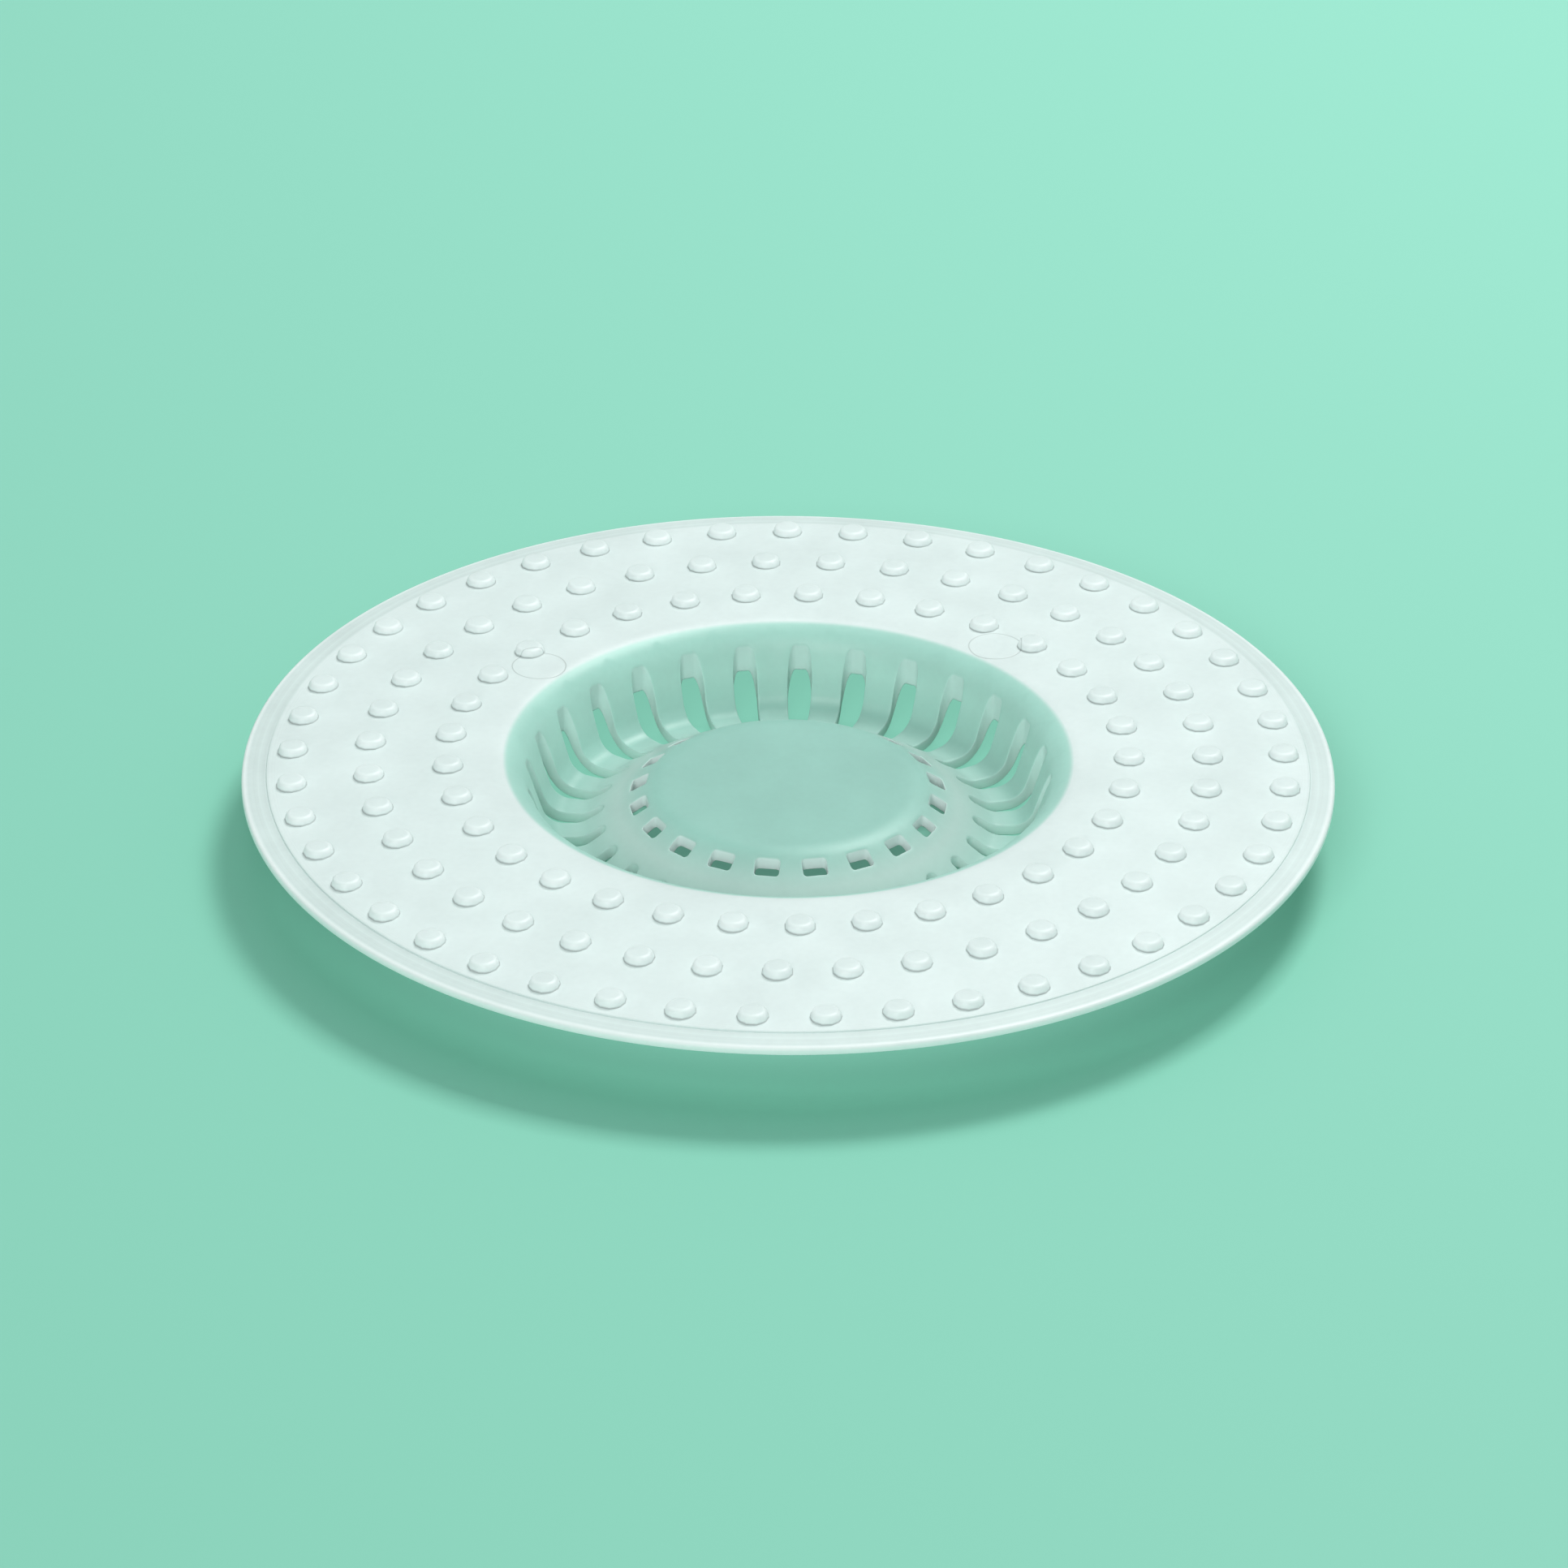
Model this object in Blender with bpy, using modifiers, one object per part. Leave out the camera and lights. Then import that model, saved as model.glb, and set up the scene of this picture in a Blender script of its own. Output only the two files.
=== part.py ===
"""Push-in sink strainer: a studded flange round a slotted basket, all of one thin plastic wall.

Metres, +Z up. The origin is on the axis, in the plane that the foot of the basket rests on.
The real object is one moulding. Its turned regions are modelled as separate closed solids,
which meet face to face, so that together they are the moulding and nothing else.
"""

import math

import bmesh
import bpy
from mathutils import Matrix

# Overall sizes
RIM_RADIUS = 0.0575
MOUTH_RADIUS = 0.0310
BASKET_DEPTH = 0.0084
WALL = 0.0012

# Sealing lip: a fine step down from the flange, level underneath where it sits on the sink
LIP_WIDTH = 0.0026
LIP_STEP = 0.00015
LIP_EDGE = 0.0008
LIP_ROUND = 0.0003

# Flange: level near the mouth, then falling towards the lip
COLLAR_BAND = 0.0015
LEVEL_BAND = 0.0043
FLANGE_FALL = 0.0010

# Basket wall
MOUTH_ROLL = 0.0040
WALL_SLOPE = math.radians(72)
FOOT_ROUND = 0.0024
CHANNEL_WIDTH = 0.0036

# Raised floor
FLOOR_RISE = 0.0049
FLANK_SLOPE = math.radians(33)
FLOOR_EDGE_ROUND = 0.0038

# Slots: narrow at the inner end, widest in the wall, and pointed like a leaf towards the mouth
SLOT_COUNT = 28
SLOT_WIDTH = 0.0026
SLOT_INNER_WIDTH = 0.0016
SLOT_TIP_WIDTH = 0.0010
SLOT_INNER_CORNER = 0.0005
SLOT_FLANK_REACH = 0.00225
SLOT_MOUTH_GAP = 0.0033
SLOT_HEM = 0.0009
SLOT_WIDEST_SHARE = 0.84
SLOT_TIP_FACETS = 3

# Windows: a ring of small openings high in the flank of the raised floor
WINDOW_COUNT = 20
WINDOW_WIDTH = 0.0026
WINDOW_LENGTH = 0.0017
WINDOW_EDGE_GAP = 0.0008

# Studs: three rings, each with fewer studs than the one outside it
STUD_RADIUS = 0.00160
STUD_TOP_RADIUS = 0.00142
STUD_HEIGHT = 0.0008
STUD_ROUND = 0.00040
STUD_SINK = 0.0006
STUD_FACETS = 8
OUTER_RING_STUDS = 45
STUDS_LESS_PER_RING = 6
STUD_RING_SHARES = (0.947, 0.525, 0.092)

# One direction that every pattern starts from, anticlockwise from +X
START_ANGLE = math.radians(10.3)

# Facets, cuts and merging
CIRCLE_STEPS = 60
ARC_STEP = math.radians(45)
CUT_OVERRUN = 0.001
MERGE = 0.00001

# Levels and radii worked out from the sizes above
CHANNEL_TOP = WALL
FLANGE_TOP = CHANNEL_TOP + BASKET_DEPTH
FLOOR_TOP = CHANNEL_TOP + FLOOR_RISE
LIP_INNER = RIM_RADIUS - LIP_WIDTH
LEVEL_EDGE = MOUTH_RADIUS + LEVEL_BAND
FALL_RATE = FLANGE_FALL / (LIP_INNER - LEVEL_EDGE)
WALL_TOP_CORNER = MOUTH_RADIUS - MOUTH_ROLL * math.tan(WALL_SLOPE / 2)
WALL_FOOT = WALL_TOP_CORNER - BASKET_DEPTH / math.tan(WALL_SLOPE)
CHANNEL_INNER = WALL_FOOT - CHANNEL_WIDTH
FLOOR_CORNER = CHANNEL_INNER - FLOOR_RISE / math.tan(FLANK_SLOPE)
SLOT_INNER = CHANNEL_INNER - SLOT_FLANK_REACH
SLOT_OUTER = MOUTH_RADIUS - SLOT_MOUTH_GAP
FLANGE_INNER = MOUTH_RADIUS + COLLAR_BAND
BASKET_OUTER = SLOT_OUTER + SLOT_HEM
FLOOR_OUTER = SLOT_INNER - SLOT_HEM
WINDOW_INNER = FLOOR_CORNER + WINDOW_EDGE_GAP
WINDOW_OUTER = WINDOW_INNER + WINDOW_LENGTH

PLASTIC_COLOR = (0.80, 0.90, 0.88, 1.0)
PLASTIC_ROUGHNESS = 0.38
PLASTIC_TRANSMISSION = 0.35


def clear_scene():
    """Remove every object that the scene holds."""
    for obj in list(bpy.data.objects):
        bpy.data.objects.remove(obj, do_unlink=True)


def new_collection(name):
    """A collection under the scene's own."""
    collection = bpy.data.collections.new(name)
    bpy.context.scene.collection.children.link(collection)
    return collection


def unit(start, end):
    """The unit direction from one profile point to the next, and the distance between them."""
    step = (end[0] - start[0], end[1] - start[1])
    length = math.hypot(*step)
    return (step[0] / length, step[1] / length), length


def rounded(corners):
    """Turn (radius, height, rounding) corners into profile points, each rounded corner as an arc.

    A rounding is limited to what half of each neighbouring stretch leaves room for.
    """
    points = [corners[0][:2]]
    for before, corner, after in zip(corners, corners[1:], corners[2:]):
        arrive, arrive_length = unit(before, corner)
        leave, leave_length = unit(corner, after)
        cross = arrive[0] * leave[1] - arrive[1] * leave[0]
        turn = math.atan2(cross, arrive[0] * leave[0] + arrive[1] * leave[1])
        if not corner[2]:
            points.append(corner[:2])
            continue
        half = math.tan(abs(turn) / 2)
        reach = min(corner[2] * half, arrive_length / 2, leave_length / 2)
        radius = math.copysign(reach / half, turn)
        start = (corner[0] - arrive[0] * reach, corner[1] - arrive[1] * reach)
        centre = (start[0] - arrive[1] * radius, start[1] + arrive[0] * radius)
        facets = max(2, round(abs(turn) / ARC_STEP))
        for index in range(facets + 1):
            angle = turn * index / facets
            sine, cosine = math.sin(angle), math.cos(angle)
            across = (arrive[1] * cosine + arrive[0] * sine, arrive[1] * sine - arrive[0] * cosine)
            points.append((centre[0] + across[0] * radius, centre[1] + across[1] * radius))
    points.append(corners[-1][:2])
    return points


def lowered(points, distance):
    """The profile that runs this far below the given one, measured square to it."""
    moved = []
    for index, (radius, height) in enumerate(points):
        arrive = unit(points[max(index - 1, 0)], points[max(index, 1)])[0]
        last = len(points) - 1
        leave = unit(points[min(index, last - 1)], points[min(index + 1, last)])[0]
        normal = (arrive[1] + leave[1], -arrive[0] - leave[0])
        size = math.hypot(*normal)
        normal = (normal[0] / size, normal[1] / size)
        mitre = distance / (normal[0] * arrive[1] - normal[1] * arrive[0])
        moved.append((radius + normal[0] * mitre, height + normal[1] * mitre))
    return moved


def height_at(points, radius):
    """The height of a profile at this radius."""
    for (inner, low), (outer, high) in zip(points, points[1:]):
        if inner <= radius <= outer:
            return low + (high - low) * (radius - inner) / (outer - inner)
    return points[-1][1]


def stretch(points, inner, outer):
    """The part of a profile between two radii, with its ends exactly on them."""
    inside = [point for point in points if inner + MERGE < point[0] < outer - MERGE]
    return [(inner, height_at(points, inner)), *inside, (outer, height_at(points, outer))]


def region(inner, outer):
    """The closed section of the wall between two radii, down its outer side."""
    return stretch(TOP_SKIN, inner, outer) + stretch(UNDER_SKIN, inner, outer)[::-1]


def lip_section():
    """The closed section of the sealing lip, level underneath and rounded at its edge."""
    seat = height_at(UNDER_SKIN, LIP_INNER)
    corners = [
        (LIP_INNER, height_at(TOP_SKIN, LIP_INNER) - LIP_STEP, 0),
        (RIM_RADIUS, seat + LIP_EDGE, LIP_ROUND),
        (RIM_RADIUS, seat, LIP_ROUND),
        (LIP_INNER, seat, 0),
    ]
    return rounded(corners)


def plastic(name):
    """The frosted, natural plastic of the moulding."""
    material = bpy.data.materials.new(name)
    material.use_nodes = True
    shader = material.node_tree.nodes["Principled BSDF"]
    shader.inputs["Base Color"].default_value = PLASTIC_COLOR
    shader.inputs["Roughness"].default_value = PLASTIC_ROUGHNESS
    shader.inputs["Metallic"].default_value = 0.0
    shader.inputs["Transmission Weight"].default_value = PLASTIC_TRANSMISSION
    material.diffuse_color = PLASTIC_COLOR
    return material


def turned(name, section, collection, parent):
    """A solid of revolution about the Z axis, from a section that starts and ends at its inner side."""
    on_axis = section[0][0] == 0
    mesh = bpy.data.meshes.new(name)
    edges = [(index, index + 1) for index in range(len(section) - 1)]
    if not on_axis:
        edges.append((len(section) - 1, 0))
    mesh.from_pydata([(radius, 0, height) for radius, height in section], edges, [])
    mesh.materials.append(plastic(name))
    obj = bpy.data.objects.new(name, mesh)
    collection.objects.link(obj)
    obj.parent = parent
    screw = obj.modifiers.new("turn", "SCREW")
    screw.axis = "Z"
    screw.steps = CIRCLE_STEPS
    screw.render_steps = CIRCLE_STEPS
    screw.use_merge_vertices = True
    screw.merge_threshold = MERGE
    screw.use_smooth_shade = True
    return obj


def helper(name, mesh, collection):
    """An object that only cuts or joins, kept out of the renders."""
    obj = bpy.data.objects.new(name, mesh)
    collection.objects.link(obj)
    obj.hide_render = True
    obj.display_type = "WIRE"
    return obj


def combine(target, other, operation):
    """Cut the other object from the target, or join it on."""
    boolean = target.modifiers.new(other.name, "BOOLEAN")
    boolean.object = other
    boolean.operation = operation
    boolean.solver = "EXACT"


def stud_mesh():
    """One stud on the origin: a short drafted button with a rounded top edge."""
    bm = bmesh.new()
    bmesh.ops.create_cone(
        bm,
        cap_ends=True,
        segments=STUD_FACETS,
        radius1=STUD_RADIUS,
        radius2=STUD_TOP_RADIUS,
        depth=STUD_SINK + STUD_HEIGHT,
        matrix=Matrix.Translation((0, 0, (STUD_HEIGHT - STUD_SINK) / 2)),
    )
    top = [edge for edge in bm.edges if all(vert.co.z > 0 for vert in edge.verts)]
    bmesh.ops.bevel(
        bm,
        geom=top,
        affect="EDGES",
        offset=STUD_ROUND,
        offset_type="OFFSET",
        segments=1,
        profile=0.5,
        material=-1,
    )
    mesh = bpy.data.meshes.new("stud")
    bm.to_mesh(mesh)
    bm.free()
    return mesh


def stud_rings():
    """All studs, standing upright on the falling flange in three rings."""
    stud = stud_mesh()
    bm = bmesh.new()
    span = LIP_INNER - FLANGE_INNER - 2 * STUD_RADIUS
    for ring, share in enumerate(STUD_RING_SHARES):
        radius = FLANGE_INNER + STUD_RADIUS + span * share
        count = OUTER_RING_STUDS - STUDS_LESS_PER_RING * ring
        for index in range(count):
            before = len(bm.verts)
            bm.from_mesh(stud)
            bm.verts.ensure_lookup_table()
            turn = Matrix.Rotation(START_ANGLE + math.tau * index / count, 4, "Z")
            place = Matrix.Translation((radius, 0, height_at(TOP_SKIN, radius)))
            bmesh.ops.transform(bm, matrix=turn @ place, verts=bm.verts[before:])
    mesh = bpy.data.meshes.new("studs")
    bm.to_mesh(mesh)
    bm.free()
    bpy.data.meshes.remove(stud)
    return mesh


def slot_outline():
    """The plan of one slot along +X: blunt inner end, straight sides, then a leaf's point."""
    widest = SLOT_INNER + (SLOT_OUTER - SLOT_INNER) * SLOT_WIDEST_SHARE
    side = [
        (SLOT_INNER, SLOT_INNER_WIDTH / 2 - SLOT_INNER_CORNER),
        (SLOT_INNER + SLOT_INNER_CORNER, SLOT_INNER_WIDTH / 2),
    ]
    for index in range(SLOT_TIP_FACETS + 1):
        share = index / SLOT_TIP_FACETS
        swell = math.sqrt(1 - share * share)
        half = SLOT_TIP_WIDTH / 2 + (SLOT_WIDTH - SLOT_TIP_WIDTH) / 2 * swell
        side.append((widest + (SLOT_OUTER - widest) * share, half))
    return [(x, -y) for x, y in side] + side[::-1]


def window_outline():
    """The plan of one window along +X: a rectangle."""
    half = WINDOW_WIDTH / 2
    side = [(WINDOW_INNER, half), (WINDOW_OUTER, half)]
    return [(x, -y) for x, y in side] + side[::-1]


def ring_of_cores(name, outline, count):
    """A ring of openings as upright prisms, as the cores of the mould would stand."""
    bm = bmesh.new()
    for index in range(count):
        turn = Matrix.Rotation(START_ANGLE + math.tau * index / count, 4, "Z")
        verts = [bm.verts.new((x, y, -CUT_OVERRUN)) for x, y in outline]
        face = bm.faces.new(verts)
        raised = bmesh.ops.extrude_face_region(bm, geom=[face])
        grown = [item for item in raised["geom"] if isinstance(item, bmesh.types.BMVert)]
        lift = (0, 0, FLANGE_TOP + 2 * CUT_OVERRUN)
        bmesh.ops.translate(bm, verts=grown, vec=lift)
        bmesh.ops.transform(bm, matrix=turn, verts=verts + grown)
    bmesh.ops.recalc_face_normals(bm, faces=bm.faces)
    mesh = bpy.data.meshes.new(name)
    bm.to_mesh(mesh)
    bm.free()
    return mesh


TOP_SKIN = rounded(
    [
        (0, FLOOR_TOP, 0),
        (FLOOR_CORNER, FLOOR_TOP, FLOOR_EDGE_ROUND + WALL),
        (CHANNEL_INNER, CHANNEL_TOP, FOOT_ROUND),
        (WALL_FOOT, CHANNEL_TOP, FOOT_ROUND),
        (WALL_TOP_CORNER, FLANGE_TOP, MOUTH_ROLL),
        (LEVEL_EDGE, FLANGE_TOP, 0),
        (RIM_RADIUS, FLANGE_TOP - FALL_RATE * (RIM_RADIUS - LEVEL_EDGE), 0),
    ]
)
UNDER_SKIN = lowered(TOP_SKIN, WALL)


def build():
    """Build the regions of the moulding, from the floor of the basket out to the lip."""
    clear_scene()
    parts = new_collection("sink_strainer")
    helpers = new_collection("cutters")
    strainer = bpy.data.objects.new("sink_strainer", None)
    parts.objects.link(strainer)

    floor = turned("basket_floor", region(0, FLOOR_OUTER), parts, strainer)
    windows = ring_of_cores("windows", window_outline(), WINDOW_COUNT)
    combine(floor, helper("windows", windows, helpers), "DIFFERENCE")
    basket = turned("slotted_basket", region(FLOOR_OUTER, BASKET_OUTER), parts, strainer)
    slots = ring_of_cores("slots", slot_outline(), SLOT_COUNT)
    combine(basket, helper("slots", slots, helpers), "DIFFERENCE")
    turned("mouth_collar", region(BASKET_OUTER, FLANGE_INNER), parts, strainer)
    flange = turned("studded_flange", region(FLANGE_INNER, LIP_INNER), parts, strainer)
    combine(flange, helper("studs", stud_rings(), helpers), "UNION")
    turned("rim_lip", lip_section(), parts, strainer)


build()
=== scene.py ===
"""A push-in sink strainer of frosted plastic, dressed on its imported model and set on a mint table.

Metres, +Z up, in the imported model's frame. The real strainer is one moulding, so one seamless
skin stands for all of its regions. Its profile repeats the sizes of the solids.
"""

import logging
import math
from bisect import bisect
from dataclasses import dataclass, field
from enum import Enum
from typing import Iterable, Sequence

import bmesh
import bpy
from mathutils import Matrix, Vector

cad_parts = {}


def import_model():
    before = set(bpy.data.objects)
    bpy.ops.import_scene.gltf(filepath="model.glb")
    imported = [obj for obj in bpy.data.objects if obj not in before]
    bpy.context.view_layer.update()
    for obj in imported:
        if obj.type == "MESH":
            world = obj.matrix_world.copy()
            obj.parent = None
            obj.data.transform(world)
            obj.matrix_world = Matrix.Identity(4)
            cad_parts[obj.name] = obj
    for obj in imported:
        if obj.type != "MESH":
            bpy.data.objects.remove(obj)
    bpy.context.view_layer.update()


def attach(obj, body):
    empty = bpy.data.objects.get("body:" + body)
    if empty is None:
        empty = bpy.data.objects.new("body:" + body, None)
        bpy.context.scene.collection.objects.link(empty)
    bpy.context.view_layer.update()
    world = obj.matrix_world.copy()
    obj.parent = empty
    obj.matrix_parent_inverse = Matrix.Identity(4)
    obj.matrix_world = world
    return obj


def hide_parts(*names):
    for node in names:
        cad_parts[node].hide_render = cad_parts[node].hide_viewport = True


log = logging.getLogger("sink_strainer")

Point = tuple[float, float]
Triple = tuple[float, float, float]
BMesh = bmesh.types.BMesh
Vert = bmesh.types.BMVert
Edge = bmesh.types.BMEdge
Socket = bpy.types.NodeSocket
START_ANGLE = math.radians(10.3)
LEAST_FACETS = 3
MERGE = 1e-6
NEAR = 5e-6
FAR = 1.0


class Side(Enum):
    """The two skins of the moulded wall."""

    TOP = "top"
    UNDER = "under"


def unit(start: Point, end: Point) -> tuple[Point, float]:
    """The direction from one profile point to the next.

    Args:
        start: The first point.
        end: The second point.

    Returns:
        The unit direction and the distance between the points.
    """
    step = (end[0] - start[0], end[1] - start[1])
    length = math.hypot(*step)
    return (step[0] / length, step[1] / length), length


def rounded(corners: Sequence[Triple], arc_step: float) -> list[Point]:
    """Round the corners of a profile.

    Args:
        corners: Radius, height and rounding of each corner.
        arc_step: The turn of one facet of a rounding, in radians.

    Returns:
        The profile's points, with each rounded corner as an arc.
    """
    points = [corners[0][:2]]
    for before, corner, after in zip(corners, corners[1:], corners[2:]):
        arrive, arrive_length = unit(before[:2], corner[:2])
        leave, leave_length = unit(corner[:2], after[:2])
        cross = arrive[0] * leave[1] - arrive[1] * leave[0]
        turn = math.atan2(cross, arrive[0] * leave[0] + arrive[1] * leave[1])
        if not corner[2]:
            points.append(corner[:2])
            continue
        half = math.tan(abs(turn) / 2)
        reach = min(corner[2] * half, arrive_length / 2, leave_length / 2)
        radius = math.copysign(reach / half, turn)
        start = (corner[0] - arrive[0] * reach, corner[1] - arrive[1] * reach)
        centre = (start[0] - arrive[1] * radius, start[1] + arrive[0] * radius)
        facets = max(LEAST_FACETS, round(abs(turn) / arc_step))
        for index in range(facets + 1):
            sine, cosine = math.sin(turn * index / facets), math.cos(turn * index / facets)
            across = (arrive[1] * cosine + arrive[0] * sine, arrive[1] * sine - arrive[0] * cosine)
            points.append((centre[0] + across[0] * radius, centre[1] + across[1] * radius))
    points.append(corners[-1][:2])
    return points


def lowered(points: Sequence[Point], distance: float) -> list[Point]:
    """Offset a profile.

    Args:
        points: The profile's points, from the axis outwards.
        distance: How far below it the new profile runs, square to it.

    Returns:
        The points of the lower profile.
    """
    moved = []
    last = len(points) - 1
    for index, (radius, height) in enumerate(points):
        arrive = unit(points[max(index - 1, 0)], points[max(index, 1)])[0]
        leave = unit(points[min(index, last - 1)], points[min(index + 1, last)])[0]
        normal = (arrive[1] + leave[1], -arrive[0] - leave[0])
        size = math.hypot(*normal)
        normal = (normal[0] / size, normal[1] / size)
        mitre = distance / (normal[0] * arrive[1] - normal[1] * arrive[0])
        moved.append((radius + normal[0] * mitre, height + normal[1] * mitre))
    return moved


@dataclass
class Wall:
    """The turned wall of the moulding: its profile from the axis to the lip, and its two skins."""

    rim_radius: float = 0.0575
    mouth_radius: float = 0.0310
    depth: float = 0.0084
    thickness: float = 0.0012
    lip_width: float = 0.0026
    level_band: float = 0.0043
    level_round: float = 0.02
    flange_fall: float = 0.0010
    mouth_roll: float = 0.0040
    slope: float = math.radians(72)
    foot_round: float = 0.0024
    channel_width: float = 0.0036
    floor_rise: float = 0.0049
    flank_slope: float = math.radians(33)
    floor_edge_round: float = 0.0038
    arc_step: float = math.radians(4)
    lean_span: float = 0.0001
    skins: dict[Side, list[Point]] = field(init=False, repr=False)

    def __post_init__(self) -> None:
        """Work out the two skins from the sizes."""
        channel = self.thickness
        self.flange_top = channel + self.depth
        self.lip_inner = self.rim_radius - self.lip_width
        level_edge = self.mouth_radius + self.level_band
        fall = self.flange_fall / (self.lip_inner - level_edge)
        wall_top = self.mouth_radius - self.mouth_roll * math.tan(self.slope / 2)
        wall_foot = wall_top - self.depth / math.tan(self.slope)
        self.channel_inner = wall_foot - self.channel_width
        self.floor_corner = self.channel_inner - self.floor_rise / math.tan(self.flank_slope)
        floor_top = channel + self.floor_rise
        top = rounded(
            [
                (0, floor_top, 0),
                (self.floor_corner, floor_top, self.floor_edge_round + self.thickness),
                (self.channel_inner, channel, self.foot_round),
                (wall_foot, channel, self.foot_round),
                (wall_top, self.flange_top, self.mouth_roll),
                (level_edge, self.flange_top, self.level_round),
                (self.rim_radius, self.flange_top - fall * (self.rim_radius - level_edge), 0),
            ],
            self.arc_step,
        )
        self.skins = {Side.TOP: top, Side.UNDER: lowered(top, self.thickness)}

    def height(self, side: Side, radius: float) -> float:
        """The height of a skin at a radius.

        Args:
            side: The skin.
            radius: The distance from the axis.

        Returns:
            The height above the foot of the basket.
        """
        points = self.skins[side]
        index = min(max(bisect(points, (radius, FAR)), 1), len(points) - 1)
        (inner, low), (outer, high) = points[index - 1], points[index]
        return low + (high - low) * (radius - inner) / (outer - inner)

    def lean(self, side: Side, radius: float) -> float:
        """How much further down than square to the skin a drop has to go at a radius.

        Args:
            side: The skin.
            radius: The distance from the axis.

        Returns:
            One over the cosine of the skin's slope.
        """
        span = self.lean_span
        rise = self.height(side, radius + span) - self.height(side, max(radius - span, 0))
        return math.hypot(rise, 2 * span) / (2 * span)


def mapped_grid(bm: BMesh, rows: Sequence[Sequence[Vector]]) -> list[list[Vert]]:
    """Lay a grid of faces through rows of places.

    Args:
        bm: The mesh that gets the grid.
        rows: The places, as rows of equal length.

    Returns:
        The grid's vertices, row by row.
    """
    across, along, half = len(rows[0]) - 1, len(rows) - 1, 0.5
    made = bmesh.ops.create_grid(bm, x_segments=across, y_segments=along, size=half)["verts"]
    laid: list[list[Vert]] = [[] for _ in rows]
    for vert in made:
        row, column = round((vert.co.y + half) * along), round((vert.co.x + half) * across)
        vert.co = rows[row][column]
        laid[row].append(vert)
    return laid


def polar(radius: float, angle: float, height: float = 0.0) -> Vector:
    """The place at a radius and an angle from +X."""
    return Vector((radius * math.cos(angle), radius * math.sin(angle), height))


def loop_edges(bm: BMesh, radius: float, low: float = -FAR) -> list[Edge]:
    """Find the open loop of edges that lies on a circle round the axis.

    Args:
        bm: The mesh.
        radius: The circle's radius.
        low: The least height of the loop.

    Returns:
        The loop's edges.
    """
    return [
        edge
        for edge in bm.edges
        if edge.is_boundary
        and all(abs(vert.co.xy.length - radius) < NEAR and vert.co.z > low for vert in edge.verts)
    ]


def bridge(bm: BMesh, inner: list[Edge], outer: list[Edge]) -> None:
    """Close the gap between two round loops about the axis.

    The operator tells the way round from the loops' heights, so one is lifted meanwhile.

    Args:
        bm: The mesh.
        inner: The edges of the smaller loop.
        outer: The edges of the larger loop.
    """
    lift = Vector((0.0, 0.0, 0.01))
    verts = list({vert for edge in outer for vert in edge.verts})
    bmesh.ops.translate(bm, verts=verts, vec=lift)
    bmesh.ops.bridge_loops(bm, edges=inner + outer)
    bmesh.ops.translate(bm, verts=verts, vec=-lift)


def with_links(verts: Sequence[Vert]) -> list[Vert | Edge | bmesh.types.BMFace]:
    """Vertices, followed by all the edges and faces that they belong to."""
    edges = {edge for vert in verts for edge in vert.link_edges}
    faces = {face for vert in verts for face in vert.link_faces}
    return [*verts, *edges, *faces]


def around(bm: BMesh, verts: Sequence[Vert], count: int, first: float) -> None:
    """Repeat a sector of a mesh round the axis.

    Args:
        bm: The mesh.
        verts: The sector's vertices.
        count: How many sectors make the full turn.
        first: The angle of the first sector from +X.
    """
    bmesh.ops.rotate(bm, verts=verts, matrix=Matrix.Rotation(first, 3, "Z"))
    bmesh.ops.spin(
        bm,
        geom=with_links(verts),
        axis=(0, 0, 1),
        angle=math.tau * (count - 1) / count,
        steps=count - 1,
        use_duplicate=True,
    )


def quarter(facets: int) -> list[float]:
    """The angles along a quarter turn, from zero to a right angle."""
    return [math.pi / 2 * index / facets for index in range(facets + 1)]


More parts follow.
